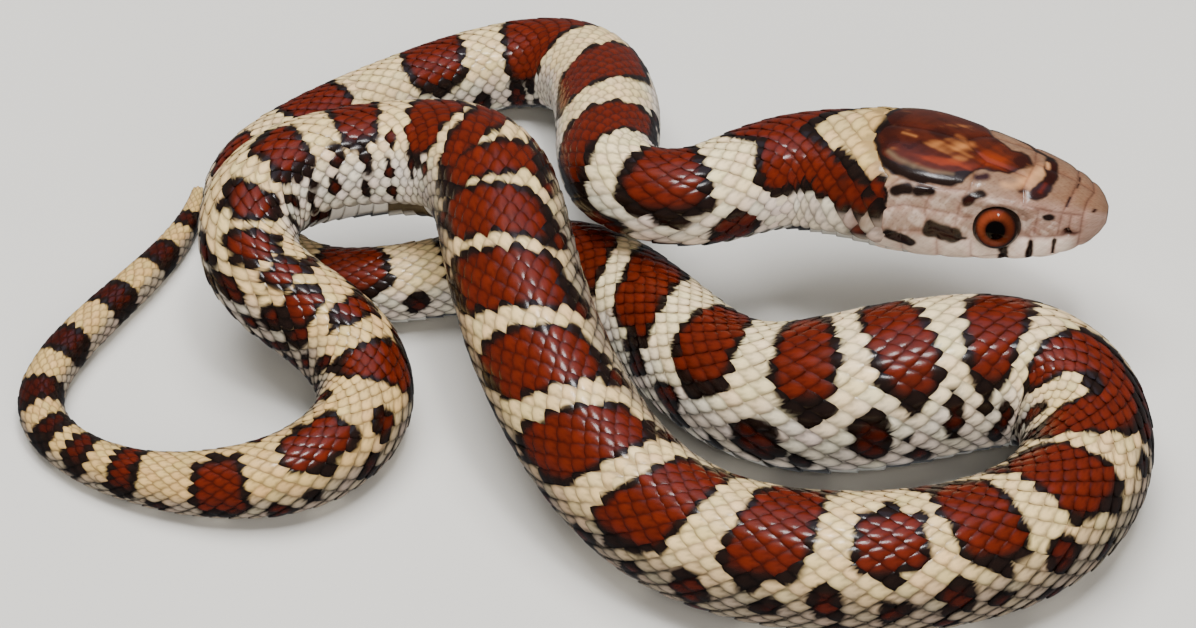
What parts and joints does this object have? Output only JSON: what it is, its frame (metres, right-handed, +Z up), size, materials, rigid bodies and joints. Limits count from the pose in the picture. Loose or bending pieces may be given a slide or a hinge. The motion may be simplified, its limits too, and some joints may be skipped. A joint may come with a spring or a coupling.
{
  "type": "young milk snake, still model",
  "caption": "Life-size still model of a young milk snake lying in loops with its head raised, blotched red on cream.",
  "frame": {"origin": "on the floor, under the middle of the whole animal's box", "axes": "+X towards the right of the loops, where the head points; +Y away from the side that the picture is taken from; +Z up"},
  "size_m": [0.0636, 0.0508, 0.0135],
  "materials": {
    "scaled_skin": "smooth shiny scales, brick red saddles edged black on cream",
    "eye": "wet gloss, orange red iris with a round black pupil"
  },
  "bodies": {
    "root": {"head": "scaled_skin", "lower_jaw": "scaled_skin", "eye_left": "eye", "eye_right": "eye", "neck": "scaled_skin", "trunk_1": "scaled_skin", "trunk_2": "scaled_skin", "trunk_3": "scaled_skin", "trunk_4": "scaled_skin", "trunk_5": "scaled_skin", "trunk_6": "scaled_skin", "trunk_7": "scaled_skin", "trunk_8": "scaled_skin", "trunk_9": "scaled_skin", "trunk_10": "scaled_skin", "trunk_11": "scaled_skin", "trunk_12": "scaled_skin", "tail_1": "scaled_skin", "tail_2": "scaled_skin", "tail_3": "scaled_skin"}
  },
  "joints": []
}
